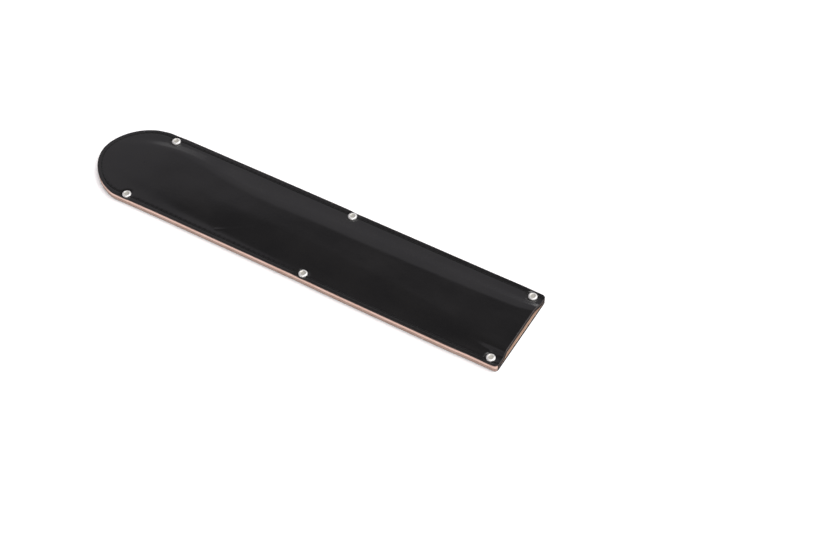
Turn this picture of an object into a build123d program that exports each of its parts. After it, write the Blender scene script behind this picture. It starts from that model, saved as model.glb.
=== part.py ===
from build123d import *
import os
from math import atan2, cos, degrees, hypot, pi, radians, sin, tan

os.makedirs("parts", exist_ok=True)

# A leather guard for the blade of a long kitchen knife. It lies on its back on
# z = 0, with the open mouth at +X, the rounded end at -X and the side that
# holds the blade's spine at +Y. The origin is the middle of the footprint.

# Leather panels
guard_length = 335.0
guard_width = 68.0
leather_thickness = 2.8
mouth_corner_radius = 2.8
edge_round = 0.4

# Pocket that the blade has formed in the front panel
pocket_rise = 5.2

# Seam through both panels, open at the mouth
seam_inset = 3.0
seam_start = 3.2
stitch_pitch = 4.0
stitch_gap = 0.8
thread_diameter = 0.8
thread_sink = 0.25
groove_width = 1.2
front_groove_depth = 0.35
thread_clearance = 0.05

# Rivets, punched by hand along both sides: each has its own inset from the
# side and setback from its end, and the middle ones lie a share of the way
# from the mouth's rivet to the rounded end's
far_mouth_setback = 7.6
near_mouth_setback = 7.2
far_tip_setback = 40.7
near_tip_setback = 41.5
far_middle_share = 0.487
near_middle_share = 0.493
far_mouth_inset = 4.7
far_middle_inset = 3.6
far_tip_inset = 5.1
near_mouth_inset = 5.0
near_middle_inset = 4.0
near_tip_inset = 3.5
head_diameter = 6.2
head_rise = 0.9
head_press = 0.4
rim_height = 0.65
rim_round = 0.15
crest_diameter = 4.2
dish_diameter = 2.6
dish_depth = 0.4
back_head_thickness = 0.9
back_crown = 0.35
press_ring = 0.15
shank_diameter = 2.8
shank_clearance = 0.1
socket_clearance = 0.05
socket_depth = 0.65
socket_play = 0.05

# One run past a surface, for every cut
overrun = 2.0

half_length = guard_length / 2
half_width = guard_width / 2
mouth_x = half_length
arc_center_x = half_width - half_length
seam_plane = leather_thickness
front_face = 2 * leather_thickness
head_radius = head_diameter / 2
press_radius = head_radius + press_ring
shank_radius = shank_diameter / 2
thread_radius = thread_diameter / 2
thread_height = thread_diameter - thread_sink
back_groove_depth = thread_height + thread_clearance

# The pocket's form, station by station from the mouth to the rounded end.
# Columns: place along the length; far foot and far shoulder across the half
# width; rise of the far and the near shoulder; near shoulder and near foot.
form_shares = (
    (0.000, 0.785, 0.540, 0.86, 0.76, 0.660, 0.740),
    (0.035, 0.795, 0.480, 0.88, 0.77, 0.620, 0.748),
    (0.150, 0.800, 0.430, 0.90, 0.77, 0.500, 0.765),
    (0.300, 0.805, 0.410, 0.90, 0.76, 0.400, 0.770),
    (0.500, 0.805, 0.400, 0.88, 0.70, 0.320, 0.760),
    (0.620, 0.810, 0.400, 0.76, 0.52, 0.280, 0.745),
    (0.720, 0.825, 0.480, 0.56, 0.30, 0.260, 0.730),
    (0.800, 0.850, 0.600, 0.42, 0.17, 0.240, 0.715),
    (0.870, 0.800, 0.600, 0.31, 0.10, 0.220, 0.680),
    (0.930, 0.650, 0.450, 0.14, 0.06, 0.180, 0.590),
    (0.970, 0.430, 0.280, 0.06, 0.03, 0.140, 0.430),
    (1.000, 0.300, 0.160, 0.02, 0.02, 0.100, 0.300),
)

# Share of the shorter side that each rounded corner takes: far foot, far
# shoulder, near shoulder, near foot
blend_shares = (0.30, 0.32, 0.40, 0.30)


def corner(before, here, after, share):
    # A rounded corner as three points of an arc, each with its outward normal
    reach_in = hypot(here[0] - before[0], here[1] - before[1])
    reach_out = hypot(after[0] - here[0], after[1] - here[1])
    way_in = ((here[0] - before[0]) / reach_in, (here[1] - before[1]) / reach_in)
    way_out = ((after[0] - here[0]) / reach_out, (after[1] - here[1]) / reach_out)
    setback = share * min(reach_in, reach_out)
    turn = atan2(
        way_in[0] * way_out[1] - way_in[1] * way_out[0],
        way_in[0] * way_out[0] + way_in[1] * way_out[1],
    )
    lean = atan2(way_in[1], way_in[0]) + turn / 2
    middle_normal = (sin(lean), -cos(lean))
    middle_offset = setback * tan(turn / 4)
    start = (here[0] - setback * way_in[0], here[1] - setback * way_in[1])
    middle = (
        here[0] - middle_offset * middle_normal[0],
        here[1] - middle_offset * middle_normal[1],
    )
    end = (here[0] + setback * way_out[0], here[1] + setback * way_out[1])
    return (
        (start, (way_in[1], -way_in[0])),
        (middle, middle_normal),
        (end, (way_out[1], -way_out[0])),
    )


def panel_section(row):
    # The front panel cut across at one station, as a face in its (y, z) plane
    far_foot, far_shoulder, far_rise, near_rise, near_shoulder, near_foot = row[1:]
    corners = (
        (half_width + overrun, front_face),
        (far_foot * half_width, front_face),
        (far_shoulder * half_width, front_face + far_rise * pocket_rise),
        (-near_shoulder * half_width, front_face + near_rise * pocket_rise),
        (-near_foot * half_width, front_face),
        (-half_width - overrun, front_face),
    )
    arcs = [
        corner(corners[i], corners[i + 1], corners[i + 2], blend_shares[i])
        for i in range(len(blend_shares))
    ]

    def under(point, normal):
        return (
            point[0] - leather_thickness * normal[0],
            point[1] - leather_thickness * normal[1],
        )

    outer_arcs = [[point for point, normal in arc] for arc in arcs]
    inner_arcs = [[under(*pair) for pair in arc] for arc in arcs]
    for points, first, last in (
        (outer_arcs, corners[0], corners[-1]),
        (inner_arcs, (corners[0][0], seam_plane), (corners[-1][0], seam_plane)),
    ):
        here = first
        for start, middle, end in points:
            Line(here, start)
            ThreePointArc(start, middle, end)
            here = end
        Line(here, last)
    Line(corners[0], (corners[0][0], seam_plane))
    Line(corners[-1], (corners[-1][0], seam_plane))


def guard_outline(inset, past_mouth=0.0):
    # The panels' outline, moved in by an inset, with its mouth end moved out
    reach = half_width - inset
    mouth_end = mouth_x + past_mouth
    with BuildSketch(mode=Mode.PRIVATE) as shape:
        with BuildLine():
            Line((mouth_end, -reach), (mouth_end, reach))
            Line((mouth_end, reach), (arc_center_x, reach))
            ThreePointArc((arc_center_x, reach), (arc_center_x - reach, 0), (arc_center_x, -reach))
            Line((arc_center_x, -reach), (mouth_end, -reach))
        make_face()
    return shape.sketch


def panel_outline():
    # The outline of both panels, with its two mouth corners rounded
    with BuildSketch(mode=Mode.PRIVATE) as shape:
        add(guard_outline(0))
        fillet(shape.vertices().group_by(Axis.X)[-1], radius=mouth_corner_radius)
    return shape.sketch


def seam_groove():
    # A ring along the seam, run out past the mouth
    with BuildSketch(mode=Mode.PRIVATE) as shape:
        add(guard_outline(seam_inset - groove_width / 2, overrun))
        add(guard_outline(seam_inset + groove_width / 2, 2 * overrun), mode=Mode.SUBTRACT)
    return shape.sketch


far_mouth_x = mouth_x - far_mouth_setback
far_tip_x = far_tip_setback - half_length
far_middle_x = far_mouth_x + far_middle_share * (far_tip_x - far_mouth_x)
near_mouth_x = mouth_x - near_mouth_setback
near_tip_x = near_tip_setback - half_length
near_middle_x = near_mouth_x + near_middle_share * (near_tip_x - near_mouth_x)
rivets = {
    "far_mouth": (far_mouth_x, half_width - far_mouth_inset),
    "far_middle": (far_middle_x, half_width - far_middle_inset),
    "far_tip": (far_tip_x, half_width - far_tip_inset),
    "near_tip": (near_tip_x, near_tip_inset - half_width),
    "near_middle": (near_middle_x, near_middle_inset - half_width),
    "near_mouth": (near_mouth_x, near_mouth_inset - half_width),
}
rivet_places = list(rivets.values())

# Back panel: flat, with the seam's groove and the rivets' seats in its back
with BuildPart() as back_panel:
    with BuildSketch(Plane.XY):
        add(panel_outline())
    extrude(amount=leather_thickness)
    fillet(back_panel.faces().sort_by(Axis.Z)[0].outer_wire().edges(), radius=edge_round)
    with BuildSketch(Plane.XY):
        add(seam_groove())
    extrude(amount=back_groove_depth, mode=Mode.SUBTRACT)
    with BuildSketch(Plane.XY):
        with Locations(*rivet_places):
            Circle(press_radius)
    extrude(amount=back_head_thickness, mode=Mode.SUBTRACT)
    with BuildSketch(Plane.XY):
        with Locations(*rivet_places):
            Circle(shank_radius + shank_clearance)
    extrude(amount=leather_thickness, mode=Mode.SUBTRACT)
back_panel.part.label = "back_panel"
export_step(back_panel.part, "parts/back_panel.step")

# Front panel: one thickness of leather lofted through the stations
with BuildPart() as front_panel:
    for row in form_shares:
        station_x = mouth_x - row[0] * guard_length
        if row is form_shares[0]:
            station_x = station_x + overrun
        if row is form_shares[-1]:
            station_x = station_x - overrun
        with BuildSketch(Plane.YZ.offset(station_x)):
            with BuildLine():
                panel_section(row)
            make_face()
    loft()
    with BuildSketch(Plane.XY):
        add(panel_outline())
    extrude(amount=2 * front_face + pocket_rise, mode=Mode.INTERSECT)
    with BuildSketch(Plane.XY.offset(front_face - front_groove_depth)):
        add(seam_groove())
    extrude(amount=front_groove_depth + overrun, mode=Mode.SUBTRACT)
    with BuildSketch(Plane.XY.offset(front_face - head_press)):
        with Locations(*rivet_places):
            Circle(press_radius)
    extrude(amount=head_press + overrun, mode=Mode.SUBTRACT)
    with BuildSketch(Plane.XY):
        with Locations(*rivet_places):
            Circle(shank_radius + shank_clearance)
    extrude(amount=front_face, mode=Mode.SUBTRACT)
front_panel.part.label = "front_panel"
export_step(front_panel.part, "parts/front_panel.step")


def seam_places(height):
    # One place for each stitch, counted from the far mouth corner round the tip
    reach = half_width - seam_inset
    straight = mouth_x - seam_start - arc_center_x
    bend = pi * reach
    count = round((2 * straight + bend) / stitch_pitch)
    pitch = (2 * straight + bend) / count
    places = []
    for i in range(count):
        run = (i + 0.5) * pitch
        if run < straight:
            places.append(Location((arc_center_x + straight - run, reach, height)))
        elif run < straight + bend:
            angle = 90 + degrees((run - straight) / reach)
            spot = (arc_center_x + reach * cos(radians(angle)), reach * sin(radians(angle)), height)
            places.append(Location(spot, (0, 0, angle + 90)))
        else:
            places.append(Location((arc_center_x + run - straight - bend, -reach, height)))
    return places


# One stitch: a short run of thread with rounded ends, flat where it lies
with BuildPart() as stitch:
    with BuildSketch(Plane.XZ):
        with BuildLine():
            half_run = (stitch_pitch - stitch_gap) / 2 - thread_radius
            Line((-half_run - thread_radius, 0), (half_run + thread_radius, 0))
            RadiusArc((half_run + thread_radius, 0), (half_run, thread_radius), -thread_radius)
            Line((half_run, thread_radius), (-half_run, thread_radius))
            RadiusArc((-half_run, thread_radius), (-half_run - thread_radius, 0), -thread_radius)
        make_face()
    revolve(axis=Axis.X)
    split(bisect_by=Plane.XY.offset(thread_sink - thread_radius), keep=Keep.TOP)

# The same stitch turned over, for the back
with BuildPart() as turned_stitch:
    add(stitch.part, rotation=(180, 0, 0))

# Needle thread on the front, trimmed where a rivet head is pressed over it
with BuildPart() as front_stitching:
    with Locations(*seam_places(front_face - front_groove_depth + thread_radius - thread_sink)):
        add(stitch.part)
    with BuildSketch(Plane.XY.offset(seam_plane)):
        with Locations(*rivet_places):
            Circle(press_radius)
    extrude(amount=front_face, mode=Mode.SUBTRACT)
front_stitching.part.label = "front_stitching"
export_step(front_stitching.part, "parts/front_stitching.step")

# Bobbin thread on the back, sunk in its groove so that the leather rests flat
with BuildPart() as back_stitching:
    with Locations(*seam_places(back_groove_depth - thread_radius + thread_sink)):
        add(turned_stitch.part)
    with BuildSketch(Plane.XY):
        with Locations(*rivet_places):
            Circle(press_radius)
    extrude(amount=seam_plane, mode=Mode.SUBTRACT)
back_stitching.part.label = "back_stitching"
export_step(back_stitching.part, "parts/back_stitching.step")

# Rivets: a cap with a dish in its middle on the front, and a post whose flat head lies in the back
seat_height = front_face - head_press
head_height = head_press + head_rise
crest_radius = crest_diameter / 2
dish_radius = dish_diameter / 2
dish_floor = head_height - dish_depth
shank_top = seat_height + socket_depth - socket_play
for name, (x, y) in rivets.items():
    rivet_axis = Axis((x, y, 0), (0, 0, 1))
    with BuildPart() as rivet_cap:
        with BuildSketch(Plane((x, y, seat_height), x_dir=(1, 0, 0), z_dir=(0, -1, 0))):
            with BuildLine():
                Line((shank_radius + socket_clearance, 0), (head_radius, 0))
                Line((head_radius, 0), (head_radius, rim_height))
                TangentArc((crest_radius, head_height), (head_radius, rim_height), tangent=(1, 0))
                TangentArc((crest_radius, head_height), (dish_radius, dish_floor), tangent=(-1, 0))
                Line((dish_radius, dish_floor), (0, dish_floor))
                Line((0, dish_floor), (0, socket_depth))
                Line((0, socket_depth), (shank_radius + socket_clearance, socket_depth))
                Line((shank_radius + socket_clearance, socket_depth), (shank_radius + socket_clearance, 0))
            make_face()
        revolve(axis=rivet_axis)
        rim = rivet_cap.edges().filter_by(GeomType.CIRCLE).sort_by(SortBy.RADIUS)[-2:]
        fillet(rim.sort_by(Axis.Z)[-1], radius=rim_round)
    rivet_cap.part.label = "rivet_cap_" + name
    export_step(rivet_cap.part, "parts/rivet_cap_" + name + ".step")

    with BuildPart() as rivet_post:
        with BuildSketch(Plane((x, y, 0), x_dir=(1, 0, 0), z_dir=(0, -1, 0))):
            with BuildLine():
                TangentArc((0, 0), (head_radius, back_crown), tangent=(1, 0))
                Line((head_radius, back_crown), (head_radius, back_head_thickness))
                Line((head_radius, back_head_thickness), (shank_radius, back_head_thickness))
                Line((shank_radius, back_head_thickness), (shank_radius, shank_top))
                Line((shank_radius, shank_top), (0, shank_top))
                Line((0, shank_top), (0, 0))
            make_face()
        revolve(axis=rivet_axis)
    rivet_post.part.label = "rivet_post_" + name
    export_step(rivet_post.part, "parts/rivet_post_" + name + ".step")
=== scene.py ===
import math
import bpy
import bmesh
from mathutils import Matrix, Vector, noise


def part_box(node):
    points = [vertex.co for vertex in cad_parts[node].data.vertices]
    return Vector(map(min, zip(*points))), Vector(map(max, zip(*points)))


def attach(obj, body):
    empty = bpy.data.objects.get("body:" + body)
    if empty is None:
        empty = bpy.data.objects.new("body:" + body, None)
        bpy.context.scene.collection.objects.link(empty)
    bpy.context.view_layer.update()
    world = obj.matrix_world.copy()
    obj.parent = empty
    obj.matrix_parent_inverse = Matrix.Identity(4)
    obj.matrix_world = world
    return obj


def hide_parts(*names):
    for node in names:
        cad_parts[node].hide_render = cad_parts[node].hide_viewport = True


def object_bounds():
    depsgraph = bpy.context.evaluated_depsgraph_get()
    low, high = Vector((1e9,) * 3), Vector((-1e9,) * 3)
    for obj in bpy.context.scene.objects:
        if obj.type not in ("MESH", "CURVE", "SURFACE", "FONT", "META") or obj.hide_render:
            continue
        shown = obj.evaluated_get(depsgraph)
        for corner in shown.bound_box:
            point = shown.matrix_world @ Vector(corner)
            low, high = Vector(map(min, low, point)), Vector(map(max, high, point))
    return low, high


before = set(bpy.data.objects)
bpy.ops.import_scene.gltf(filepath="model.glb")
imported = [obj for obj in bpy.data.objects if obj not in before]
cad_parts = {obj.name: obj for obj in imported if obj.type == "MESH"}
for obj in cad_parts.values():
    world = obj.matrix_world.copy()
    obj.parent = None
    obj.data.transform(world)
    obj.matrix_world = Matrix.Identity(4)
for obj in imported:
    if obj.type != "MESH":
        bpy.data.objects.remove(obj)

cadLow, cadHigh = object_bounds()
mm = 0.001
weldReach = 1e-7      # in m: points nearer than this become one
sliverReach = 1e-8    # in m: edges shorter than this are removed
print("frame loaded, guard is %.3f m long" % (cadHigh.x - cadLow.x))

# The guard's own sizes, read from the frame
mouthX = cadHigh.x
tipX = cadLow.x
guardLength = mouthX - tipX
halfWidth = (cadHigh.y - cadLow.y) / 2
arcX = tipX + halfWidth               # centre of the rounded end
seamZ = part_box("front_panel")[0].z    # where the two layers meet
faceZ = 2 * seamZ                     # the front flange's face

# What shape the leather has, in mm; places along the guard are x, which grows towards the mouth
leather = {
    "rise": 5.0,            # how far the pocket stands up, which the stations below take shares of
    "edgeRound": 0.40,      # rounded long edges and mouth
    "seamRound": 0.12,      # the same, where the layers meet
    "cornerRound": 2.8,     # the two corners at the mouth
    "grooveInset": 3.0,     # seam's distance from the edge
    "grooveWidth": 1.0,
    "grooveFloor": 0.30,    # share of that width that is the groove's floor
    "grooveDepth": 0.38,
    "backGrooveDepth": 0.6,
    "holeDepth": 0.3,       # extra dip where the needle went in
    "holeAlong": 0.75,
    "holeAcross": 0.8,
    "seamPull": 0.09,       # leather drawn down beside the seam
    "seamPullReach": 2.2,
    "pullSwing": 0.35,      # share of that pull that comes and goes with each stitch
    "pressDepth": 0.32,     # rivet heads pressed into the face
    "pressStart": 0.12,
    "pressReach": 2.2,
    "backPressDepth": 0.9,
    "backPressReach": 1.1,
    "edgePinch": 0.22,      # edge drawn down beside each rivet
    "pinchAlong": 9.0,
    "pinchIn": 3.5,
    "valleyDepth": 0.17,    # flange pressed down along the near foot, between these places
    "valleyReach": 6.5,
    "valleyStart": (-112, -62),
    "valleyEnd": (-10, 30),
    "edgeDroop": 0.05,      # far flange leans out a little towards its edge
    "droopReach": 8.0,
    "cornerCurl": 0.2,      # near the mouth it curls up instead
    "curlPlaces": (122, 146),
    "waviness": 0.09,       # the hide's own unevenness, in waves to the metre along and across
    "broadWaves": (22, 38),
    "smallWaves": (75, 95),
    "smallShare": 0.3,
    "smallSeed": 7.3,
    "frontSeed": 3.0,
    "frontWavyInset": 8.0,
    "backSeed": 11.0,
    "backShare": 0.5,
    "backWavyInset": (4, 12),
    "creaseLine": ((-53.6, -26.2), (-42.0, -20.0), (-30.8, -12.8)),
    "creaseHeight": 0.12,
    "creaseReach": 1.6,
    "tipQuiet": 0.8,        # how much fainter the seam's groove is round the end
    "quietPlaces": (-140, -157),
    "tipTrimFar": 0.6,
    "tipTrimNear": 1.2,
    "cornerLift": 0.45,     # layers part a little at the near mouth corner
    "cornerReach": 7.0,
    "dyedTurn": 0.35,       # how far from the mouth its dyed edge reaches round the corners
    "fibreScale": 900,      # cut edge: rough with fibres and a little hollow
    "fibreDepth": 0.03,
    "edgeHollow": 0.02,
}

# Where the leather's grid has its lines, in mm
spacing = {
    "edgeRows": (
        0.0, 0.05, 0.14, 0.28, 0.45, 0.70, 1.0, 1.4, 1.8, 2.15, 2.4, 2.6, 2.8, 3.0, 3.2, 3.4, 3.6, 3.85,
    ),
    "mouthColumns": (0.0, 0.05, 0.14, 0.28, 0.45, 0.70, 1.0, 1.5),
    "front": (16.0, 0.5, 1.1),    # how far in its rows stay fine, their step there and further in
    "back": (9.0, 0.6, 2.2),
    "along": 0.85,
    "edgeRings": 5,
    "slope": 0.2,                 # over which the face's slope is measured
    "mouth": 0.02,                # nearer to the mouth than this is at the mouth
}

# Stations of the pocket, close to the solid's: place along from the mouth, far foot, far shoulder,
# far rise, near rise, near shoulder, near foot, in shares of the length, half width and rise
formShares = (
    (0.000, 0.785, 0.540, 0.86, 0.76, 0.660, 0.740),
    (0.035, 0.790, 0.480, 0.88, 0.77, 0.620, 0.748),
    (0.150, 0.800, 0.430, 0.90, 0.77, 0.500, 0.765),
    (0.300, 0.805, 0.410, 0.90, 0.76, 0.400, 0.770),
    (0.500, 0.805, 0.400, 0.88, 0.70, 0.320, 0.760),
    (0.620, 0.810, 0.400, 0.76, 0.52, 0.280, 0.745),
    (0.720, 0.825, 0.480, 0.56, 0.275, 0.260, 0.730),
    (0.800, 0.850, 0.600, 0.42, 0.145, 0.240, 0.715),
    (0.870, 0.800, 0.600, 0.31, 0.10, 0.220, 0.680),
    (0.930, 0.650, 0.450, 0.14, 0.06, 0.180, 0.590),
    (0.970, 0.430, 0.280, 0.06, 0.03, 0.140, 0.430),
    (1.000, 0.300, 0.160, 0.02, 0.02, 0.100, 0.300),
)
blendShares = (0.30, 0.32, 0.40, 0.30)    # how much each corner's rounding takes of its lines, far foot first
straightTurn = 1e-5                       # a corner that turns less, in radians, is left alone

# The seam's thread, in mm
stitching = {
    "pitch": 4.0,
    "gap": 0.7,
    "thread": 0.82,         # thread's width
    "flatness": 0.92,       # its height for that width
    "sink": 0.22,
    "sinkBelow": 0.12,      # how much deeper the back's thread sits in its groove
    "start": 3.2,           # first stitch, from the mouth
    "strands": 3,
    "strandDepth": 0.13,    # share of the thread's width
    "turns": 1.6,           # twist over one stitch
    "stretch": 1.06,        # how much longer a stitch is than what shows
    "taperPower": 5,        # the higher these powers, the later its ends thin and dive
    "taperLeast": 0.02,
    "dive": 0.34,           # how deep they go
    "divePower": 3.2,
    "rings": 12,            # points along a stitch and round it
    "sides": 14,
    "underRivet": 0.4,      # a stitch this far inside a rivet's head isn't laid
    "doubled": 2,           # stitches sewn twice at each end of the seam
    "aside": 0.24,
    "doubledLength": 0.96,
    "doubledLift": 0.05,
    "lean": 4.0,            # stitches lean a little, in degrees
    "leanVaries": (0.6, 0.8),       # least share, and how much chance adds
    "lengthVaries": (0.95, 0.08),
    "liftVaries": 0.06,
    "bead": 0.85,           # melted end of the thread
    "beadSetback": 2.3,
    "beadRise": 0.42,
    "beadRiseBelow": 0.2,   # the same on the back, which the guard lies on
    "beadLong": 1.35,
    "beadFlat": 0.7,
    "beadLumps": 0.22,
    "beadLumpScale": 2200,
    "beadDetail": 3,
}


def smooth(low, high, value):
    t = min(1.0, max(0.0, (value - low) / (high - low)))
    return t * t * (3 - 2 * t)


def rivetSpots():
    # Middle and radius of each rivet's cap, read from the frame
    spots = []
    for name in sorted(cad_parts):
        if name.startswith("rivet_cap_"):
            low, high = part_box(name)
            spots.append(((low.x + high.x) / 2, (low.y + high.y) / 2, (high.x - low.x) / 2))
    return spots


def between(places, x):
    # From 0 to 1 on the way between two places along the guard
    return smooth(places[0] * mm, places[1] * mm, x)


seamReach = halfWidth - leather["grooveInset"] * mm
seamBend = math.pi * seamReach        # its length round the end
rivets = rivetSpots()
nearCorner = min(rivets, key=lambda spot: spot[1] - spot[0])   # rivet at the near mouth corner


def pocketLine(x):
    # The section's five lines at this place along the guard, as six corners
    along = min(1.0, max(0.0, (mouthX - x) / guardLength))
    last = len(formShares) - 1
    i = max(k for k in range(last) if formShares[k][0] <= along)
    rows = [formShares[min(last, max(0, i + k))] for k in (-1, 0, 1, 2)]
    t = (along - rows[1][0]) / (rows[2][0] - rows[1][0])
    values = []
    for column in range(1, 7):
        # A cubic through the stations, with each slope taken from its neighbours
        step = rows[2][0] - rows[1][0]
        slopeIn = (rows[2][column] - rows[0][column]) / (rows[2][0] - rows[0][0]) * step
        slopeOut = (rows[3][column] - rows[1][column]) / (rows[3][0] - rows[1][0]) * step
        a, b = rows[1][column], rows[2][column]
        values.append(
            a * (2 * t ** 3 - 3 * t ** 2 + 1) + slopeIn * (t ** 3 - 2 * t ** 2 + t)
            + b * (3 * t ** 2 - 2 * t ** 3) + slopeOut * (t ** 3 - t ** 2)
        )
    farFoot, farShoulder, farRise, nearRise, nearShoulder, nearFoot = values
    rise = leather["rise"] * mm
    return (
        (-2 * halfWidth, 0.0),
        (-nearFoot * halfWidth, 0.0),
        (-nearShoulder * halfWidth, nearRise * rise),
        (farShoulder * halfWidth, farRise * rise),
        (farFoot * halfWidth, 0.0),
        (2 * halfWidth, 0.0),
    )


def formRise(line, y):
    # Height of the formed leather above the flange, with each corner rounded
    for i in range(1, 5):
        before, here, after = line[i - 1], line[i], line[i + 1]
        reachIn = math.hypot(here[0] - before[0], here[1] - before[1])
        reachOut = math.hypot(after[0] - here[0], after[1] - here[1])
        setback = blendShares[4 - i] * min(reachIn, reachOut)
        wayIn = ((here[0] - before[0]) / reachIn, (here[1] - before[1]) / reachIn)
        wayOut = ((after[0] - here[0]) / reachOut, (after[1] - here[1]) / reachOut)
        start = (here[0] - setback * wayIn[0], here[1] - setback * wayIn[1])
        end = (here[0] + setback * wayOut[0], here[1] + setback * wayOut[1])
        if y < start[0]:
            return before[1] + (y - before[0]) * wayIn[1] / wayIn[0]
        if y <= end[0]:
            turn = math.atan2(wayOut[1], wayOut[0]) - math.atan2(wayIn[1], wayIn[0])
            if abs(turn) < straightTurn:
                return start[1] + (y - start[0]) * wayIn[1] / wayIn[0]
            radius = setback / math.tan(abs(turn) / 2)
            side = 1 if turn > 0 else -1
            middleY = start[0] - side * radius * wayIn[1]
            middleZ = start[1] + side * radius * wayIn[0]
            return middleZ - side * math.sqrt(max(0.0, radius ** 2 - (y - middleY) ** 2))
    return 0.0


def cleanRise(x, y):
    return formRise(pocketLine(x), y)


def seamRun(x, y):
    # Distance along the seam from the far mouth end
    if x >= arcX:
        straight = mouthX - x
        if y >= 0:
            return straight
        return 2 * (mouthX - arcX) + seamBend - straight
    angle = math.atan2(y, x - arcX)
    if angle < 0:
        angle += 2 * math.pi
    return (mouthX - arcX) + seamReach * (angle - math.pi / 2)


def grooveAt(run, inset, depth):
    # The seam's groove, the needle holes in it and the leather drawn down beside it
    away = abs(inset - leather["grooveInset"] * mm)
    pitch = seamPitch()
    phase = (run - stitching["start"] * mm) / pitch
    toHole = abs(phase - round(phase)) * pitch
    trough = 1 - smooth(leather["grooveFloor"], 1.0, away / (leather["grooveWidth"] * mm / 2))
    hole = 1 - smooth(0.0, leather["holeAlong"] * mm, toHole)
    hole *= 1 - smooth(0.0, leather["holeAcross"] * mm, away)
    pull = 1 - smooth(0.0, leather["seamPullReach"] * mm, away)
    pucker = 1 - leather["pullSwing"] + leather["pullSwing"] * math.cos(2 * math.pi * phase)
    return depth * trough + leather["holeDepth"] * mm * hole + leather["seamPull"] * mm * pull * pucker


def seamLength():
    # From the first needle hole to the last
    return 2 * (mouthX - arcX - stitching["start"] * mm) + seamBend


def seamPitch():
    # The pitch that fits a whole number of stitches into the seam
    return seamLength() / round(seamLength() / (stitching["pitch"] * mm))


def roundedDrop(radius, toEdge, toMouth):
    # How far a face falls away at its rounded edges
    a = max(0.0, radius - toEdge)
    b = max(0.0, radius - toMouth)
    return radius - math.sqrt(max(0.0, radius ** 2 - a ** 2 - b ** 2))


def wavy(x, y, seed):
    # The hide's own unevenness
    broadX, broadY = leather["broadWaves"]
    smallX, smallY = leather["smallWaves"]
    broad = noise.noise(Vector((x * broadX, y * broadY, seed)))
    small = noise.noise(Vector((x * smallX, y * smallY, seed + leather["smallSeed"])))
    return leather["waviness"] * mm * (broad + leather["smallShare"] * small)


def creaseAt(x, y):
    # A faint crease that runs in from the near side, left by use
    line = leather["creaseLine"]
    best = guardLength
    for (ax, ay), (bx, by) in zip(line, line[1:]):
        ax, ay, bx, by = ax * mm, ay * mm, bx * mm, by * mm
        span = (bx - ax) ** 2 + (by - ay) ** 2
        t = min(1.0, max(0.0, ((x - ax) * (bx - ax) + (y - ay) * (by - ay)) / span))
        best = min(best, math.hypot(x - ax - t * (bx - ax), y - ay - t * (by - ay)))
    return leather["creaseHeight"] * mm * (1 - smooth(0.0, leather["creaseReach"] * mm, best))


def valleyAt(x, y):
    # The flange is pressed down a little along the pocket's near foot, on the tip's half of the guard
    foot = pocketLine(x)[1][0]
    across = 1 - smooth(0.0, leather["valleyReach"] * mm, abs(y - foot))
    along = between(leather["valleyStart"], x) * (1 - between(leather["valleyEnd"], x))
    return leather["valleyDepth"] * mm * across * along


def frontFace(x, y, run, inset, toMouth):
    # Height of the front's outer face
    z = faceZ + cleanRise(x, y) - valleyAt(x, y)
    waves = wavy(x, y, leather["frontSeed"]) * smooth(0.0, leather["frontWavyInset"] * mm, inset)
    z += waves + creaseAt(x, y)
    quiet = 1 - leather["tipQuiet"] * between(leather["quietPlaces"], x)
    z -= grooveAt(run, inset, leather["grooveDepth"] * mm) * quiet
    if y > 0:
        curl = leather["cornerCurl"] * between(leather["curlPlaces"], x) - leather["edgeDroop"]
        z += curl * mm * max(0.0, 1 - inset / (leather["droopReach"] * mm))
    cornerAway = math.hypot(x - mouthX, y - math.copysign(halfWidth, nearCorner[1]))
    z += leather["cornerLift"] * mm * (1 - smooth(0.0, leather["cornerReach"] * mm, cornerAway))
    for spotX, spotY, radius in rivets:
        apart = math.hypot(x - spotX, y - spotY) - radius
        if apart < leather["pressReach"] * mm:
            held = 1 - smooth(leather["pressStart"] * mm, leather["pressReach"] * mm, apart)
            z += (faceZ - leather["pressDepth"] * mm - z) * held
        pinch = 1 - smooth(0.0, leather["pinchAlong"] * mm, abs(x - spotX))
        pinch *= 1 - smooth(0.0, leather["pinchIn"] * mm, inset)
        if y * spotY > 0:
            z -= leather["edgePinch"] * mm * pinch
    return z - roundedDrop(leather["edgeRound"] * mm, inset, toMouth)


def frontInside(x, y):
    # One leather thickness under the clean face, square to it
    step = spacing["slope"] * mm
    slopeX = 0.0
    if x < mouthX - step:
        slopeX = (cleanRise(x + step, y) - cleanRise(x - step, y)) / (2 * step)
    slopeY = (cleanRise(x, y + step) - cleanRise(x, y - step)) / (2 * step)
    size = math.sqrt(1 + slopeX ** 2 + slopeY ** 2)
    place = Vector((x, y, faceZ + cleanRise(x, y)))
    place -= Vector((-slopeX, -slopeY, 1)) * (seamZ / size)
    place.z = max(seamZ, place.z)
    if x > mouthX - step:
        place.x = x
    return place


def backFace(x, y, run, inset, toMouth):
    # Height of the back's outer face, which the guard lies on
    z = grooveAt(run, inset, leather["backGrooveDepth"] * mm)
    waves = leather["backShare"] * abs(wavy(x, y, leather["backSeed"]))
    z += waves * between(leather["backWavyInset"], inset)
    for spotX, spotY, radius in rivets:
        apart = math.hypot(x - spotX, y - spotY) - radius
        held = 1 - smooth(leather["pressStart"] * mm, leather["backPressReach"] * mm, apart)
        z += (leather["backPressDepth"] * mm - z) * held
    return z + roundedDrop(leather["edgeRound"] * mm, inset, toMouth)


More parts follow.
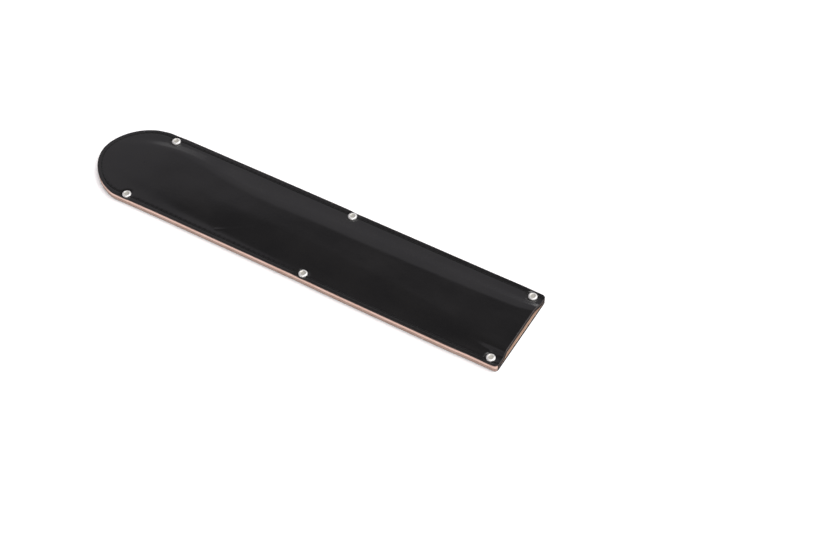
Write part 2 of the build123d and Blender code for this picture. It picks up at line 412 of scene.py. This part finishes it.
def insetRows(fineTo, fineStep, coarseStep):
    # Distances in from the edge, close together at the edge and the seam
    rows = list(spacing["edgeRows"])
    while rows[-1] + fineStep < fineTo:
        rows.append(rows[-1] + fineStep)
    steps = math.ceil((halfWidth / mm - rows[-1]) / coarseStep)
    start = rows[-1]
    rows += [start + (halfWidth / mm - start) * (i + 1) / steps for i in range(steps)]
    return [row * mm for row in rows]


def outlineColumns():
    # Places along the outline: far side from the mouth, round the end, near side
    toMouth = list(spacing["mouthColumns"])
    straight = (mouthX - arcX) / mm
    steps = math.ceil((straight - toMouth[-1]) / spacing["along"])
    start = toMouth[-1]
    toMouth += [start + (straight - start) * (i + 1) / steps for i in range(steps)]
    columns = [("side", mouthX - d * mm, 1) for d in toMouth]
    arcSteps = math.ceil(math.pi * halfWidth / mm / spacing["along"])
    columns += [("end", math.pi / 2 + math.pi * (i + 1) / arcSteps, 0) for i in range(arcSteps - 1)]
    columns += [("side", mouthX - d * mm, -1) for d in reversed(toMouth)]
    return columns


# How far the hand-cut outline lies outside the drawn one, in mm: at places along each long side, and
# round the rounded end by the angle from +X, in degrees
handCut = {
    "far": (
        (-133.5, 0.25), (-122, 0.70), (-90, 0.80), (-40, 0.95), (14, 0.90), (27, 0.45), (90, 0.50),
        (158, 0.40), (167.5, 0.20),
    ),
    "near": (
        (-133.5, 0.75), (-118, 0.45), (-95, 0.15), (10, 0.05), (45, 0.45), (130, 0.50), (148, 0.10),
        (167.5, 0.05),
    ),
    "end": (
        (90, 0.25), (101, -0.15), (114, 0.05), (135, 0.25), (180, 0.45), (200, 0.20), (225, 0.0),
        (250, -0.10), (270, 0.70),
    ),
    "reach": 2.4,           # how far in from the edge it fades to the drawn outline
}


def tipTrim(angle):
    # The seam and the edge round the end are a little flatter between the sides and the tip
    trim = leather["tipTrimFar"] if angle < math.pi else leather["tipTrimNear"]
    return trim * mm * math.sin(2 * angle) ** 2


def cutBetween(table, place):
    # The offset at one place, eased between the two nearest entries
    for (a, low), (b, high) in zip(table, table[1:]):
        if place <= b:
            return (low + (high - low) * smooth(a, b, place)) * mm
    return table[-1][1] * mm


def cutOffset(kind, value, side, inset):
    # How far a point of the grid moves out with the hand-cut outline
    fade = max(0.0, 1 - inset / (handCut["reach"] * mm))
    if kind == "end":
        return cutBetween(handCut["end"], math.degrees(value)) * fade
    return cutBetween(handCut["far" if side > 0 else "near"], value / mm) * fade


def gridPlace(column, inset):
    # A point of the outline's grid, with the two mouth corners rounded
    kind, value, side = column
    reach = halfWidth - inset + cutOffset(kind, value, side, inset)
    if kind == "end":
        reach -= tipTrim(value)
        return arcX + reach * math.cos(value), reach * math.sin(value)
    x, y = value, side * reach
    corner = leather["cornerRound"] * mm
    middleY = halfWidth + cutOffset(kind, value, side, 0.0) - corner
    dx, dy = x - (mouthX - corner), abs(y) - middleY
    if dx > 0 and dy > 0:
        shrink = max(dx, dy) / math.hypot(dx, dy)
        x = mouthX - corner + dx * shrink
        y = side * (middleY + dy * shrink)
    return x, y


def finishedPiece(name, mesh, materials):
    # The mesh as a smooth piece in the scene
    bmesh.ops.recalc_face_normals(mesh, faces=mesh.faces)
    data = bpy.data.meshes.new(name)
    mesh.to_mesh(data)
    mesh.free()
    for polygon in data.polygons:
        polygon.use_smooth = True
    piece = bpy.data.objects.new(name, data)
    bpy.context.scene.collection.objects.link(piece)
    for material in materials:
        data.materials.append(material)
    return piece


def leatherPanel(name, rows, upper, lower, materials):
    # A closed sheet of leather: two faces on the outline's grid, joined all round by the cut edge.
    # Its materials: upper face, lower face, cut edge, the mouth's cut edge
    columns = outlineColumns()
    mesh = bmesh.new()
    edgeLayer = mesh.verts.layers.float.new("edgeDistance")
    grids = []
    for face in (upper, lower):
        grid = []
        for column in columns:
            line = []
            for inset in rows:
                x, y = gridPlace(column, inset)
                run = seamRun(x, y)
                toMouth = mouthX - column[1] if column[0] == "side" else mouthX - x
                vert = mesh.verts.new(face(x, y, run, inset, toMouth))
                vert[edgeLayer] = min(inset, toMouth) / mm
                line.append(vert)
            grid.append(line)
        grids.append(grid)
    top, bottom = grids
    for grid, index, flip in ((top, 0, False), (bottom, 1, True)):
        for a, b in zip(grid, grid[1:]):
            for k in range(len(rows) - 1):
                corners = [a[k], b[k], b[k + 1], a[k + 1]]
                quad = mesh.faces.new(corners if not flip else corners[::-1])
                quad.material_index = index
    loops = []
    for grid in (top, bottom):
        loop = [line[0] for line in grid]
        loop += grid[-1][1:] + grid[0][-2::-1][:-1]
        loops.append(loop)
    previous = loops[0]
    rings = spacing["edgeRings"]
    for step in range(1, rings + 1):
        t = step / rings
        if step == rings:
            ring = loops[1]
        else:
            ring = []
            for above, below in zip(*loops):
                place = above.co.lerp(below.co, t)
                if mouthX - place.x < spacing["mouth"] * mm:
                    away = Vector((1, 0, 0))
                elif place.x > arcX:
                    away = Vector((0, place.y, 0))
                else:
                    away = Vector((place.x - arcX, place.y, 0))
                away.normalize()
                rough = noise.noise(place * leather["fibreScale"]) * leather["fibreDepth"] * mm
                rough -= math.sin(math.pi * t) ** 0.5 * leather["edgeHollow"] * mm
                vert = mesh.verts.new(place + away * rough)
                vert[edgeLayer] = -t
                ring.append(vert)
        count = len(ring)
        for k in range(count):
            n = (k + 1) % count
            quad = mesh.faces.new([previous[n], previous[k], ring[k], ring[n]])
            atMouth = all(mouthX - vert.co.x < leather["dyedTurn"] * mm for vert in quad.verts)
            quad.material_index = 3 if atMouth else 2
        previous = ring
    bmesh.ops.remove_doubles(mesh, verts=mesh.verts, dist=weldReach)
    bmesh.ops.dissolve_degenerate(mesh, edges=mesh.edges, dist=sliverReach)
    return finishedPiece(name, mesh, materials)


def nodeTree(name):
    # A plain material with its output and shader ready
    material = bpy.data.materials.new(name)
    material.use_nodes = True
    tree = material.node_tree
    return material, tree, tree.nodes["Principled BSDF"]


def addNode(tree, kind, **settings):
    # A node with some of its inputs or properties set
    node = tree.nodes.new(kind)
    for key, value in settings.items():
        if key in node.inputs.keys():
            node.inputs[key].default_value = value
        else:
            setattr(node, key, value)
    return node


def placeNode(tree, scale):
    # Object coordinates, scaled
    coordinates = tree.nodes.new("ShaderNodeTexCoord")
    mapping = tree.nodes.new("ShaderNodeMapping")
    mapping.inputs["Scale"].default_value = scale
    tree.links.new(coordinates.outputs["Object"], mapping.inputs["Vector"])
    return mapping.outputs["Vector"]


def noiseNode(tree, stretch, scale, detail, roughness):
    # A noise texture on the piece's own coordinates
    node = addNode(tree, "ShaderNodeTexNoise", Scale=scale, Detail=detail, Roughness=roughness)
    tree.links.new(placeNode(tree, stretch), node.inputs["Vector"])
    return node.outputs["Fac"]


def attributeNode(tree, name):
    node = tree.nodes.new("ShaderNodeAttribute")
    node.attribute_name = name
    return node.outputs["Fac"]


def mathNode(tree, operation, *values):
    # A sum, product or the like of sockets and numbers
    node = addNode(tree, "ShaderNodeMath", operation=operation)
    for socket, value in zip(node.inputs, values):
        if isinstance(value, bpy.types.NodeSocket):
            tree.links.new(value, socket)
        else:
            socket.default_value = value
    return node.outputs[0]


def mixColours(tree, factor, a, b):
    # The mix node's inputs 6 and 7 and its output 2 are the ones for colours
    node = tree.nodes.new("ShaderNodeMix")
    node.data_type = "RGBA"
    for socket, value in ((node.inputs[0], factor), (node.inputs[6], a), (node.inputs[7], b)):
        if isinstance(value, bpy.types.NodeSocket):
            tree.links.new(value, socket)
        elif isinstance(value, float):
            socket.default_value = value
        else:
            socket.default_value = (*value, 1)
    return node.outputs[2]


def scaled(tree, value, low, high, newLow, newHigh, shape="LINEAR"):
    # A value taken from one range to another, and held at its ends
    node = addNode(tree, "ShaderNodeMapRange", interpolation_type=shape)
    node.inputs["From Min"].default_value = low
    node.inputs["From Max"].default_value = high
    node.inputs["To Min"].default_value = newLow
    node.inputs["To Max"].default_value = newHigh
    tree.links.new(value, node.inputs["Value"])
    return node.outputs["Result"]


def bumped(tree, height, strength, distance, normal=None):
    # A fine relief on top of the given one, if any
    node = tree.nodes.new("ShaderNodeBump")
    node.inputs["Strength"].default_value = strength
    node.inputs["Distance"].default_value = distance
    tree.links.new(height, node.inputs["Height"])
    if normal is not None:
        tree.links.new(normal, node.inputs["Normal"])
    return node.outputs["Normal"]


# Every noise below is its stretch along x, y and z, then scale, detail and roughness
blackLeather = {
    "dye": (0.0092, 0.0088, 0.0090),
    "dyeWorn": (0.0120, 0.0113, 0.0112),
    "edgeBrown": (0.050, 0.026, 0.018),
    "brownReach": 0.30,                  # in mm from the edge
    "roughLow": 0.13,
    "roughHigh": 0.20,
    "edgeRough": 0.5,
    "rubbedReach": (0.2, 0.9),           # in mm from the edge
    "specular": 0.5,
    "broad": ((1, 1.6, 1), 28.0, 4.0, 0.6),
    "broadWorn": (0.35, 0.7),
    "scratches": ((1.2, 14, 4), 60.0, 2.0, 0.5),
    "scratchShare": 0.35,
    "polish": (0.45, 0.95),
    "grainScale": 1500.0,
    "grainStrength": 0.35,
    "grainDepth": 0.00003,
    "pores": ((1, 1, 1), 420.0, 3.0, 0.55),
    "poreStrength": 0.25,
    "poreDepth": 0.00006,
}


def blackLeatherMaterial():
    # Smooth dyed hide: fine grain, sparse pores, broad changes of polish, brown where the dye thins
    look = blackLeather
    material, tree, shader = nodeTree("blackLeather")
    link = tree.links.new
    broad = noiseNode(tree, *look["broad"])
    scratches = noiseNode(tree, *look["scratches"])
    pores = noiseNode(tree, *look["pores"])
    grain = addNode(tree, "ShaderNodeTexVoronoi", Scale=look["grainScale"], feature="DISTANCE_TO_EDGE")
    link(placeNode(tree, (1, 1, 1)), grain.inputs["Vector"])
    edge = attributeNode(tree, "edgeDistance")
    body = mixColours(tree, scaled(tree, broad, *look["broadWorn"], 0, 1), look["dye"], look["dyeWorn"])
    thin = scaled(tree, edge, 0.0, look["brownReach"], 1, 0)
    link(mixColours(tree, thin, body, look["edgeBrown"]), shader.inputs["Base Color"])
    polish = mathNode(tree, "MULTIPLY_ADD", scratches, look["scratchShare"], broad)
    polished = scaled(tree, polish, *look["polish"], look["roughLow"], look["roughHigh"])
    rubbed = scaled(tree, edge, *look["rubbedReach"], look["edgeRough"], 0)
    link(mathNode(tree, "MAXIMUM", polished, rubbed), shader.inputs["Roughness"])
    shader.inputs["Specular IOR Level"].default_value = look["specular"]
    fine = bumped(tree, grain.outputs["Distance"], look["grainStrength"], look["grainDepth"])
    link(bumped(tree, pores, look["poreStrength"], look["poreDepth"], fine), shader.inputs["Normal"])
    return material


rawLeather = {
    "pale": (0.86, 0.61, 0.52),
    "deep": (0.72, 0.47, 0.37),
    "paleInShade": (0.46, 0.32, 0.265),    # the back layer's edge in darker tones: painted shade for its place next to the floor
    "deepInShade": (0.36, 0.23, 0.18),
    "dyed": (0.10, 0.045, 0.030),
    "dyeRan": 0.10,                      # share of the layer's thickness
    "fibres": ((0.35, 0.35, 4.5), 220.0, 5.0, 0.65),
    "fibreStrength": 0.5,
    "fibreDepth": 0.0001,
    "patches": ((1, 1, 1), 55.0, 3.0, 0.6),
    "patchShare": 0.6,
    "tones": (0.62, 1.0),
    "rough": 0.62,
}


def rawEdgeMaterial(name, pale, deep):
    # Cut and burnished edge of undyed hide: fibres in layers, darker where the face's dye ran in
    look = rawLeather
    material, tree, shader = nodeTree(name)
    link = tree.links.new
    fibres = noiseNode(tree, *look["fibres"])
    patches = noiseNode(tree, *look["patches"])
    depth = attributeNode(tree, "edgeDistance")
    tone = mathNode(tree, "MULTIPLY_ADD", patches, look["patchShare"], fibres)
    body = mixColours(tree, scaled(tree, tone, *look["tones"], 0, 1), pale, deep)
    ran = scaled(tree, depth, -look["dyeRan"], 0.0, 0, 1)
    link(mixColours(tree, ran, body, look["dyed"]), shader.inputs["Base Color"])
    shader.inputs["Roughness"].default_value = look["rough"]
    link(bumped(tree, fibres, look["fibreStrength"], look["fibreDepth"]), shader.inputs["Normal"])
    return material


dyedLeather = {
    "dark": (0.004, 0.004, 0.004),
    "light": (0.013, 0.010, 0.009),
    "fibres": ((0.4, 0.4, 3.0), 300.0, 5.0, 0.65),
    "fibreStrength": 0.5,
    "fibreDepth": 0.00008,
    "rough": 0.7,
    "specular": 0.08,
}


def dyedEdgeMaterial():
    # The mouth's cut edges, dyed black: open fibres, duller than the face
    look = dyedLeather
    material, tree, shader = nodeTree("dyedLeatherEdge")
    link = tree.links.new
    fibres = noiseNode(tree, *look["fibres"])
    link(mixColours(tree, fibres, look["dark"], look["light"]), shader.inputs["Base Color"])
    shader.inputs["Roughness"].default_value = look["rough"]
    shader.inputs["Specular IOR Level"].default_value = look["specular"]
    link(bumped(tree, fibres, look["fibreStrength"], look["fibreDepth"]), shader.inputs["Normal"])
    return material


flesh = {
    "deep": (0.42, 0.27, 0.19),
    "pale": (0.55, 0.38, 0.28),
    "patches": ((1, 1, 1), 45.0, 3.0, 0.6),
    "patchRange": (0.3, 0.7),
    "nap": ((1, 1, 1), 700.0, 6.0, 0.7),
    "napStrength": 0.6,
    "napDepth": 0.00025,
    "rough": 0.95,
    "sheen": 0.25,
    "sheenRough": 0.5,
}


def fleshMaterial():
    # The hide's inner side: short brushed fibres, brown, without shine
    look = flesh
    material, tree, shader = nodeTree("leatherFleshSide")
    link = tree.links.new
    nap = noiseNode(tree, *look["nap"])
    patches = scaled(tree, noiseNode(tree, *look["patches"]), *look["patchRange"], 0, 1)
    link(mixColours(tree, patches, look["deep"], look["pale"]), shader.inputs["Base Color"])
    shader.inputs["Roughness"].default_value = look["rough"]
    shader.inputs["Sheen Weight"].default_value = look["sheen"]
    shader.inputs["Sheen Roughness"].default_value = look["sheenRough"]
    link(bumped(tree, nap, look["napStrength"], look["napDepth"]), shader.inputs["Normal"])
    return material


thread = {
    "dark": (0.008, 0.008, 0.009),
    "light": (0.022, 0.021, 0.021),
    "fuzz": ((1, 1, 1), 1600.0, 3.0, 0.5),
    "filamentScale": 900.0,
    "filamentBend": 1.5,
    "filamentDetail": 2.0,
    "filamentStrength": 0.35,
    "filamentDepth": 0.00004,
    "rough": 0.65,
    "specular": 0.12,
}


def threadMaterial():
    # Black bonded thread: a fine twist of filaments with a dull shine
    look = thread
    material, tree, shader = nodeTree("blackThread")
    link = tree.links.new
    filaments = addNode(
        tree, "ShaderNodeTexWave",
        Scale=look["filamentScale"], Distortion=look["filamentBend"], Detail=look["filamentDetail"],
    )
    link(placeNode(tree, (1, 1, 1)), filaments.inputs["Vector"])
    fuzz = noiseNode(tree, *look["fuzz"])
    link(mixColours(tree, fuzz, look["dark"], look["light"]), shader.inputs["Base Color"])
    shader.inputs["Roughness"].default_value = look["rough"]
    shader.inputs["Specular IOR Level"].default_value = look["specular"]
    relief = bumped(tree, filaments.outputs["Fac"], look["filamentStrength"], look["filamentDepth"])
    link(relief, shader.inputs["Normal"])
    return material


nickel = {
    "plate": (0.85, 0.835, 0.81),
    "handled": (0.80, 0.78, 0.745),
    "roughLow": 0.38,
    "roughHigh": 0.48,
    "metal": 0.55,                       # satin plate: the rest is an even grey-white
    "patches": ((1, 1, 1), 420.0, 4.0, 0.6),
    "handledRange": (0.45, 0.75),
    "roughRange": (0.3, 0.7),
    "scratches": ((0.6, 7, 1), 900.0, 2.0, 0.5),
    "scratchStrength": 0.15,
    "scratchDepth": 0.00002,
    # painted shade for the middle of a cap's dish
    "dishShade": (0.55, 0.53, 0.475),
    "dishInner": 0.25,                   # radii of the dish, in shares of the cap's width
    "dishOuter": 0.33,
}


def nickelMaterial(name, dished):
    # Satin nickel plate with fine scratches and duller patches; a cap's dish is painted darker, as painted
    # shade in that hollow
    look = nickel
    material, tree, shader = nodeTree(name)
    link = tree.links.new
    patches = noiseNode(tree, *look["patches"])
    scratches = noiseNode(tree, *look["scratches"])
    handled = scaled(tree, patches, *look["handledRange"], 0, 1)
    colour = mixColours(tree, handled, look["plate"], look["handled"])
    if dished:
        # How far a point lies from the cap's middle, seen from above, where the cap is 1 wide
        spot = tree.nodes.new("ShaderNodeTexCoord")
        level = addNode(tree, "ShaderNodeVectorMath", operation="MULTIPLY")
        link(spot.outputs["Generated"], level.inputs[0])
        level.inputs[1].default_value = (1, 1, 0)
        apart = addNode(tree, "ShaderNodeVectorMath", operation="DISTANCE")
        link(level.outputs["Vector"], apart.inputs[0])
        apart.inputs[1].default_value = (0.5, 0.5, 0)
        inDish = scaled(tree, apart.outputs["Value"], look["dishInner"], look["dishOuter"], 1, 0)
        # painted shade: the dish's middle turns a darker beige grey
        colour = mixColours(tree, inDish, colour, look["dishShade"])
    link(colour, shader.inputs["Base Color"])
    shader.inputs["Metallic"].default_value = look["metal"]
    dull = scaled(tree, patches, *look["roughRange"], look["roughLow"], look["roughHigh"])
    link(dull, shader.inputs["Roughness"])
    link(bumped(tree, scratches, look["scratchStrength"], look["scratchDepth"]), shader.inputs["Normal"])
    return material


blackFace = blackLeatherMaterial()
rawEdge = rawEdgeMaterial("rawLeatherEdge", rawLeather["pale"], rawLeather["deep"])
# The back layer's edge is the same raw leather in darker colours, painted shade for the shade near the floor
rawEdgeShaded = rawEdgeMaterial("rawLeatherEdgeShaded", rawLeather["paleInShade"], rawLeather["deepInShade"])
dyedEdge = dyedEdgeMaterial()
fleshSide = fleshMaterial()
blackThread = threadMaterial()
nickelPlate = nickelMaterial("nickelPlate", False)
nickelCap = nickelMaterial("nickelCap", True)
print("materials made")


def frontPanelPiece():
    # The formed layer

    def upper(x, y, run, inset, toMouth):
        return Vector((x, y, frontFace(x, y, run, inset, toMouth)))

    def lower(x, y, run, inset, toMouth):
        place = frontInside(x, y)
        place.z += roundedDrop(leather["seamRound"] * mm, inset, toMouth)
        return place

    rows = insetRows(*spacing["front"])
    materials = (blackFace, fleshSide, rawEdge, dyedEdge)
    return leatherPanel("frontPanelLeather", rows, upper, lower, materials)


def backPanelPiece():
    # The flat layer

    def upper(x, y, run, inset, toMouth):
        return Vector((x, y, seamZ - roundedDrop(leather["seamRound"] * mm, inset, toMouth)))

    def lower(x, y, run, inset, toMouth):
        return Vector((x, y, backFace(x, y, run, inset, toMouth)))

    rows = insetRows(*spacing["back"])
    # its cut edge takes the raw edge's darker copy, painted shade
    materials = (fleshSide, blackFace, rawEdgeShaded, dyedEdge)
    return leatherPanel("backPanelLeather", rows, upper, lower, materials)


frontPanel = frontPanelPiece()
backPanel = backPanelPiece()
for panel, node in ((frontPanel, "front_panel"), (backPanel, "back_panel")):
    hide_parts(node)
    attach(panel, "root")
faceCounts = (len(frontPanel.data.polygons), len(backPanel.data.polygons))
print("leather panels made, %d and %d faces" % faceCounts)


chanceMix = (12.9898, 78.233, 43758.5453)    # unrelated numbers that scatter chance's results


def chance(index, salt):
    # A steady number from 0 to 1 for one stitch
    forIndex, forSalt, spread = chanceMix
    return math.modf(abs(math.sin(index * forIndex + salt * forSalt)) * spread)[0]


def varied(limits, index, salt):
    return limits[0] + limits[1] * chance(index, salt)


def stitchPlaces():
    # Middle and direction of each stitch, from the far mouth end round to the near one
    straight = mouthX - arcX - stitching["start"] * mm
    pitch = seamPitch()
    places = []
    for i in range(round(seamLength() / pitch)):
        run = (i + 0.5) * pitch
        if run < straight:
            places.append((arcX + straight - run, seamReach, math.pi))
        elif run < straight + seamBend:
            angle = math.pi / 2 + (run - straight) / seamReach
            bent = seamReach - tipTrim(angle)
            places.append((arcX + bent * math.cos(angle), bent * math.sin(angle), angle + math.pi / 2))
        else:
            places.append((arcX + run - straight - seamBend, -seamReach, 0.0))
    return places


def layStitch(mesh, place, angle, half, centre, up):
    # One stitch: twisted strands that dive into the needle holes at both ends
    x, y = place
    rings, sides = stitching["rings"], stitching["sides"]
    thick = stitching["thread"] * mm / 2
    previous = None
    first = None
    for r in range(rings + 1):
        t = -1 + 2 * r / rings
        along = half * math.sin(t * math.pi / 2) * stitching["stretch"]
        taper = math.sqrt(max(stitching["taperLeast"], 1 - abs(t) ** stitching["taperPower"]))
        dive = stitching["dive"] * mm * abs(t) ** stitching["divePower"]
        ring = []
        for k in range(sides):
            around = 2 * math.pi * k / sides
            twisted = around - t * math.pi * stitching["turns"]
            lobes = 1 + stitching["strandDepth"] * math.cos(stitching["strands"] * twisted)
            across = thick * taper * lobes * math.cos(around)
            high = thick * stitching["flatness"] * taper * lobes * math.sin(around)
            px = x + along * math.cos(angle) - across * math.sin(angle)
            py = y + along * math.sin(angle) + across * math.cos(angle)
            ring.append(mesh.verts.new((px, py, centre - up * dive + up * high)))
        if previous:
            for k in range(sides):
                n = (k + 1) % sides
                mesh.faces.new([previous[k], previous[n], ring[n], ring[k]])
        else:
            first = ring
        previous = ring
    mesh.faces.new(first[::-1])
    mesh.faces.new(previous)


def layMeltedEnd(mesh, side, level, up):
    # The thread's cut end, melted to a bead in front of the first stitch
    place = Vector((mouthX - stitching["beadSetback"] * mm, side * seamReach, 0))
    place.z = level + up * stitching["beadRise" if up > 0 else "beadRiseBelow"] * mm
    made = bmesh.ops.create_icosphere(
        mesh, subdivisions=stitching["beadDetail"], radius=stitching["bead"] * mm / 2
    )
    for vert in made["verts"]:
        seed = Vector((side * 5, 2, 0))
        lump = 1 + stitching["beadLumps"] * noise.noise(vert.co * stitching["beadLumpScale"] + seed)
        flat = Vector((vert.co.x * stitching["beadLong"], vert.co.y, vert.co.z * stitching["beadFlat"]))
        vert.co = flat * lump + place


def seamPiece(name, level, up):
    # The thread of one face, sewn back over itself at both ends of the seam
    mesh = bmesh.new()
    half = (seamPitch() - stitching["gap"] * mm) / 2
    thick = stitching["thread"] * mm / 2
    places = stitchPlaces()
    for index, (x, y, angle) in enumerate(places):
        inside = stitching["underRivet"] * mm
        if any(math.hypot(x - rx, y - ry) < radius - inside for rx, ry, radius in rivets):
            continue
        lean = math.radians(stitching["lean"]) * varied(stitching["leanVaries"], index, 1) * up
        length = half * varied(stitching["lengthVaries"], index, 2)
        lift = (chance(index, 3) - 0.5) * stitching["liftVaries"] * mm
        centre = level + up * (thick - stitching["sink"] * mm + lift)
        fromEnd = min(index, len(places) - 1 - index)
        if fromEnd < stitching["doubled"]:
            aside = stitching["aside"] * mm * (1 if y > 0 else -1)
            over = centre + up * stitching["doubledLift"] * mm
            layStitch(mesh, (x, y + aside), angle - lean, length * stitching["doubledLength"], centre, up)
            layStitch(mesh, (x, y - aside), angle + lean, length, over, up)
        else:
            layStitch(mesh, (x, y), angle + lean, length, centre, up)
    for side in (1, -1):
        layMeltedEnd(mesh, side, level, up)
    return finishedPiece(name, mesh, (blackThread,))


frontSeam = seamPiece("frontSeamThread", faceZ - leather["grooveDepth"] * mm, 1)
backSeam = seamPiece("backSeamThread", (leather["backGrooveDepth"] + stitching["sinkBelow"]) * mm, -1)
for seam, node in ((frontSeam, "front_stitching"), (backSeam, "back_stitching")):
    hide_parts(node)
    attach(seam, "root")
print("seam sewn, %d stitch places a face" % len(stitchPlaces()))

for nodeName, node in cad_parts.items():
    if nodeName.startswith("rivet_"):
        for materialSlot in node.material_slots:
            materialSlot.material = nickelCap if nodeName.startswith("rivet_cap_") else nickelPlate
print("rivets plated")


lights = {
    "wallsLow": 0.30,                # studio walls, which brighten between two heights, in degrees
    "climbLow": 12.0,
    "walls": 0.47,
    "climbHigh": 44.0,
    "fadeLow": 47.0,                 # and then fade into a dim ceiling
    "fadeHigh": 49.2,
    "ceiling": 0.10,
    "wallTint": (1.0, 0.965, 1.035),
    "keyPlace": (36, 61),            # azimuth from +X and height, in degrees
    "keyPower": 2.5,
    "keySpread": 50.0,
    "fillPlace": (-65.0, 32.0),
    "fillPower": 0.9,
    "fillSpread": 40.0,
    "windowPlace": (128.5, 21.0),    # small and dim, mirrored only by the fold beside the far tip rivet
    "windowPower": 0.0205,
    "windowSpread": 13.5,
    "floorTone": 0.95,
    "floorRough": 0.9,
    "floorGlow": 0.22,               # brings the floor to white, but only where it is seen or mirrored
    "floorSize": 40.0,
    "floorDrop": 0.0002,             # just under the guard
}


def studioFloor():
    # A wide pale floor that keeps the soft shadow
    data = bpy.data.meshes.new("studioFloor")
    size = lights["floorSize"]
    corners = [(-size, -size, 0), (size, -size, 0), (size, size, 0), (-size, size, 0)]
    data.from_pydata(corners, [], [(0, 1, 2, 3)])
    floor = bpy.data.objects.new("studioFloor", data)
    floor.location.z = -lights["floorDrop"]
    bpy.context.scene.collection.objects.link(floor)
    material, tree, shader = nodeTree("paleFloor")
    tone = lights["floorTone"]
    shader.inputs["Base Color"].default_value = (tone, tone, tone, 1)
    shader.inputs["Roughness"].default_value = lights["floorRough"]
    shader.inputs["Specular IOR Level"].default_value = 0.0
    shader.inputs["Emission Color"].default_value = (1, 1, 1, 1)
    # White for the view, for mirrors and through glass, without lighting the guard
    path = tree.nodes.new("ShaderNodeLightPath").outputs
    mirrored = mathNode(tree, "MAXIMUM", path["Is Glossy Ray"], path["Is Transmission Ray"])
    seen = mathNode(tree, "MAXIMUM", path["Is Camera Ray"], mirrored)
    glow = mathNode(tree, "MULTIPLY", seen, lights["floorGlow"])
    tree.links.new(glow, shader.inputs["Emission Strength"])
    data.materials.append(material)


def studioWorld():
    # Bright walls that fade into a dim ceiling, the same for the view, the light and the reflections
    world = bpy.data.worlds.new("studioWorld")
    bpy.context.scene.world = world
    world.use_nodes = True
    tree = world.node_tree
    tree.nodes.clear()
    link = tree.links.new
    coordinates = tree.nodes.new("ShaderNodeTexCoord")
    split = tree.nodes.new("ShaderNodeSeparateXYZ")
    link(coordinates.outputs["Generated"], split.inputs["Vector"])

    def height(name):
        return math.sin(math.radians(lights[name]))

    up = split.outputs["Z"]
    dimmest = lights["ceiling"] / lights["walls"]
    fade = scaled(tree, up, height("fadeLow"), height("fadeHigh"), 1.0, dimmest, "SMOOTHSTEP")
    climb = scaled(tree, up, height("climbLow"), height("climbHigh"), lights["wallsLow"], lights["walls"])
    light = tree.nodes.new("ShaderNodeBackground")
    light.inputs["Color"].default_value = (*lights["wallTint"], 1)
    link(mathNode(tree, "MULTIPLY", fade, climb), light.inputs["Strength"])
    output = tree.nodes.new("ShaderNodeOutputWorld")
    link(light.outputs["Background"], output.inputs["Surface"])


def softSun(name, place, power, spread):
    # A wide lamp so far off that it lights the whole floor alike
    azimuth, height = (math.radians(angle) for angle in place)
    level = math.cos(height)
    toward = Vector((math.cos(azimuth) * level, math.sin(azimuth) * level, math.sin(height)))
    data = bpy.data.lights.new(name, "SUN")
    data.energy = power
    data.angle = math.radians(spread)
    lamp = bpy.data.objects.new(name, data)
    lamp.location = toward
    lamp.rotation_mode = "QUATERNION"
    lamp.rotation_quaternion = toward.to_track_quat("Z", "Y")
    bpy.context.scene.collection.objects.link(lamp)


# The photograph's view, in mm and degrees
camera = {
    "azimuth": 30.31,
    "elevation": 49.4,
    "distance": 1052.45,
    "target": (83.67, 8.72, 0.6),
    "focalPixels": 1580.5,
    "photoWidth": 833,
    "sensor": 36.0,
    "clip": (0.01, 50.0),            # in m
}


def photoCamera():
    # The photograph's view; its azimuth is counted from -Y
    azimuth, elevation = math.radians(camera["azimuth"]), math.radians(camera["elevation"])
    level = math.cos(elevation)
    back = Vector((math.sin(azimuth) * level, -math.cos(azimuth) * level, math.sin(elevation)))
    data = bpy.data.cameras.new("photoCamera")
    data.sensor_width = camera["sensor"]
    data.lens = camera["focalPixels"] * camera["sensor"] / camera["photoWidth"]
    data.clip_start, data.clip_end = camera["clip"]
    eye = bpy.data.objects.new("photoCamera", data)
    eye.location = Vector(camera["target"]) * mm + back * camera["distance"] * mm
    eye.rotation_mode = "QUATERNION"
    eye.rotation_quaternion = (-back).to_track_quat("-Z", "Y")
    bpy.context.scene.collection.objects.link(eye)
    bpy.context.scene.camera = eye


studioFloor()
studioWorld()
for lamp in ("key", "fill", "window"):
    softSun(lamp + "Lamp", lights[lamp + "Place"], lights[lamp + "Power"], lights[lamp + "Spread"])
photoCamera()
bpy.context.scene.view_settings.view_transform = "Standard"
print("studio lit")
